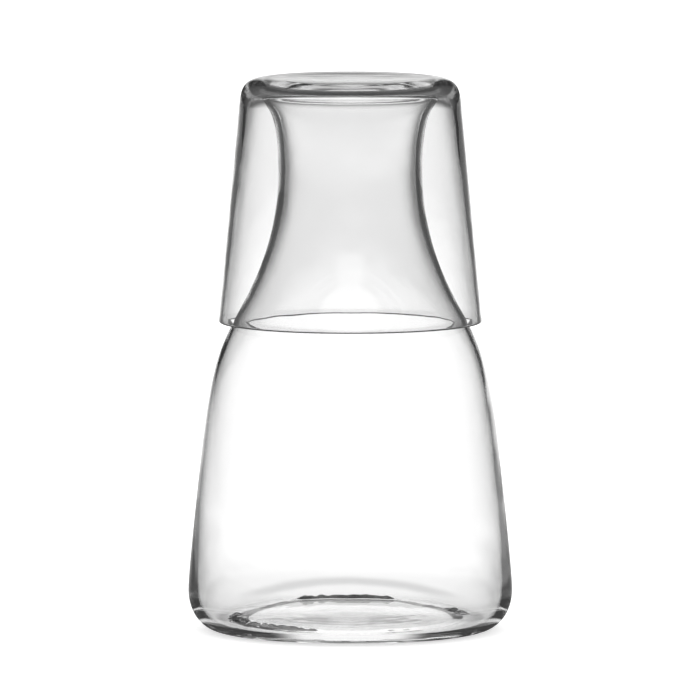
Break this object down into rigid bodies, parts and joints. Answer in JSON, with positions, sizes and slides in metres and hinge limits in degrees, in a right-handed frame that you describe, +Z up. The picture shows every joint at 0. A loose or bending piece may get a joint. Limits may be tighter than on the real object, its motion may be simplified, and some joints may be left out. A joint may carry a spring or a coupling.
{
  "type": "glass carafe",
  "caption": "Clear glass water carafe with a thick rounded foot, tapering body and waisted neck, covered by a drinking tumbler turned upside down over its flared mouth.",
  "frame": {"origin": "centre of the standing ring, on the plane the carafe stands on", "axes": "+Z up along the common axis of carafe and tumbler; the picture looks along +Y"},
  "size_m": [0.105, 0.105, 0.1792],
  "materials": {
    "carafe_glass": "fire-polished clear",
    "tumbler_glass": "fire-polished clear"
  },
  "bodies": {
    "carafe": {"carafe": "carafe_glass"},
    "tumbler": {"tumbler": "tumbler_glass"}
  },
  "joints": [
    {"name": "tumbler_lift", "type": "slide", "parent": "carafe", "child": "tumbler", "axis": [0, 0, 1], "range_m": [0, 0.1]}
  ]
}
